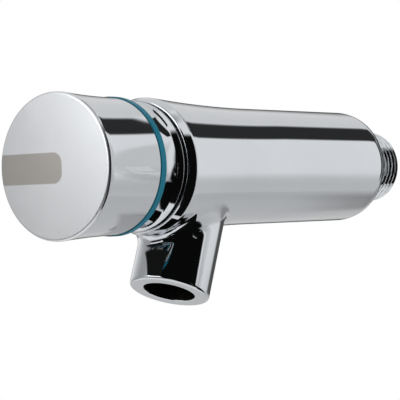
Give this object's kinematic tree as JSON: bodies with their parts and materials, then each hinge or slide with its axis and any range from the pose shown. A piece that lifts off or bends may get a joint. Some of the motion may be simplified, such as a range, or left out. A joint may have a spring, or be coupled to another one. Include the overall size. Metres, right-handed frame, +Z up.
{
  "type": "push timed tap",
  "caption": "Wall-mounted chrome push tap: a round button on the front of a straight barrel, a short leaning spout below and a male pipe thread behind; it closes by itself.",
  "frame": {"origin": "on the tap's axis, in the plane of the shoulder that meets the wall", "axes": "+Y along the tap's axis into the wall, button towards -Y, +Z up, spout towards -Z"},
  "size_m": [0.0366, 0.1405, 0.0552],
  "materials": {
    "chrome_body": "polished chrome plating on a brass casting",
    "chrome_collar": "polished chrome plating on turned brass",
    "chrome_button": "polished chrome side, satin front face",
    "blue_ring": "smooth moulded plastic, petrol blue",
    "brass": "bright turned",
    "steel": "stainless",
    "spring_steel": "drawn stainless wire",
    "black_rubber": "matt",
    "pale_plastic": "moulded, slightly waxy",
    "grey_plastic": "moulded, fine grain",
    "fibre_gasket": "pressed fibre"
  },
  "bodies": {
    "tap": {"body": "chrome_body", "head_collar": "chrome_collar", "guide_ring": "pale_plastic", "head_gasket": "fibre_gasket", "timing_cylinder": "grey_plastic", "cartridge_seal": "black_rubber", "stem_bush": "pale_plastic", "stem_seal": "black_rubber", "cylinder_cap": "pale_plastic", "cap_seal": "black_rubber", "bleed_pin": "steel", "valve_cage": "grey_plastic", "valve_seat": "steel", "seat_seal": "black_rubber", "inlet_strainer": "steel", "strainer_ring": "black_rubber", "flow_regulator": "pale_plastic", "regulator_seal": "black_rubber", "jet_straightener": "grey_plastic", "outlet_clip": "steel", "return_spring": "spring_steel"},
    "button": {"button_cap": "chrome_button", "colour_ring": "blue_ring", "button_hub": "pale_plastic", "stem_nut": "brass", "stem": "brass", "piston": "pale_plastic", "piston_seal": "black_rubber", "piston_clip": "steel", "valve_head": "brass", "valve_washer": "black_rubber", "valve_nut": "brass"}
  },
  "joints": [
    {"name": "button_press", "type": "slide", "parent": "tap", "child": "button", "axis": [0, 1, 0], "range_m": [0, 0.006], "stiffness_N_per_m": 1200, "springref_m": -0.01, "deforming": ["return_spring"]}
  ]
}
